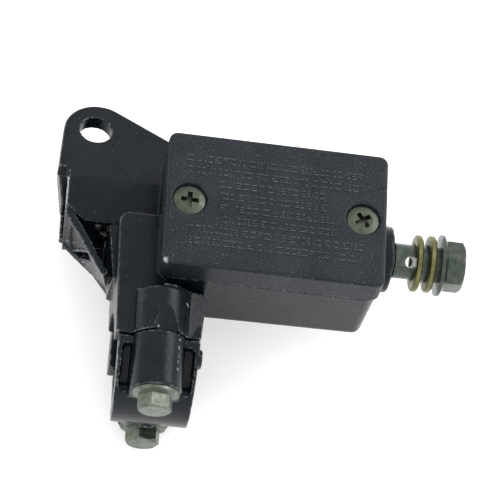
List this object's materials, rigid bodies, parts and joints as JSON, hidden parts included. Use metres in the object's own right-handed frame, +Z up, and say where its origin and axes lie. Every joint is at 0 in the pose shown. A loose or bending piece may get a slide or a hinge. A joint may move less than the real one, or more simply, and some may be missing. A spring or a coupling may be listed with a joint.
{
  "type": "brake master cylinder",
  "caption": "Handlebar brake master cylinder with a rectangular fluid reservoir, split handlebar clamp, lever perch and a banjo bolt with loose crush washers.",
  "frame": {"origin": "on the axis of the handlebar bore, 0.8 mm to the left of the middle of the clamp", "axes": "+X along the cylinder towards the banjo port, +Y forward, away from the rider, +Z up, square to the reservoir cap; the handlebar bore rises 2.2 degrees towards +X"},
  "size_m": [0.1133, 0.0949, 0.0527],
  "materials": {
    "black_casting": "semi-gloss black paint over cast aluminium",
    "black_cap": "fine-grained satin black paint",
    "zinc_steel": "olive zinc plate",
    "dark_steel": "dark green-grey plate",
    "washer_brass": "dull, unworn",
    "plain_steel": "bright",
    "turned_aluminium": "fine turned, dark anodised",
    "seal_rubber": "matte black",
    "white_plastic": "matte"
  },
  "bodies": {
    "cylinder": {"cylinder_body": "black_casting", "clamp_cap": "black_casting", "clamp_bolt_upper": "zinc_steel", "clamp_bolt_lower": "zinc_steel", "reservoir_cap": "black_cap", "cap_screw_left": "zinc_steel", "cap_screw_right": "zinc_steel", "diaphragm_plate": "white_plastic", "reservoir_diaphragm": "seal_rubber", "splash_plate": "plain_steel", "banjo_bolt": "dark_steel", "return_spring": "plain_steel", "piston_stop_washer": "plain_steel", "circlip": "plain_steel", "dust_boot": "seal_rubber"},
    "piston_group": {"piston": "turned_aluminium", "primary_cup": "seal_rubber", "secondary_cup": "seal_rubber", "piston_shim": "plain_steel", "spring_seat": "plain_steel"},
    "inner_washer": {"crush_washer_inner": "washer_brass"},
    "outer_washer": {"crush_washer_outer": "washer_brass"}
  },
  "joints": [
    {"name": "piston_stroke", "type": "slide", "parent": "cylinder", "child": "piston_group", "axis": [1, 0, 0], "range_m": [0, 0.01], "stiffness_N_per_m": 1500, "springref_m": -0.01, "deforming": ["return_spring", "dust_boot"]},
    {"name": "inner_washer_slide", "type": "slide", "parent": "cylinder", "child": "inner_washer", "axis": [1, 0, 0], "range_m": [-0.005, 0.0008]},
    {"name": "outer_washer_slide", "type": "slide", "parent": "cylinder", "child": "outer_washer", "axis": [1, 0, 0], "range_m": [-0.0008, 0.0014]}
  ]
}
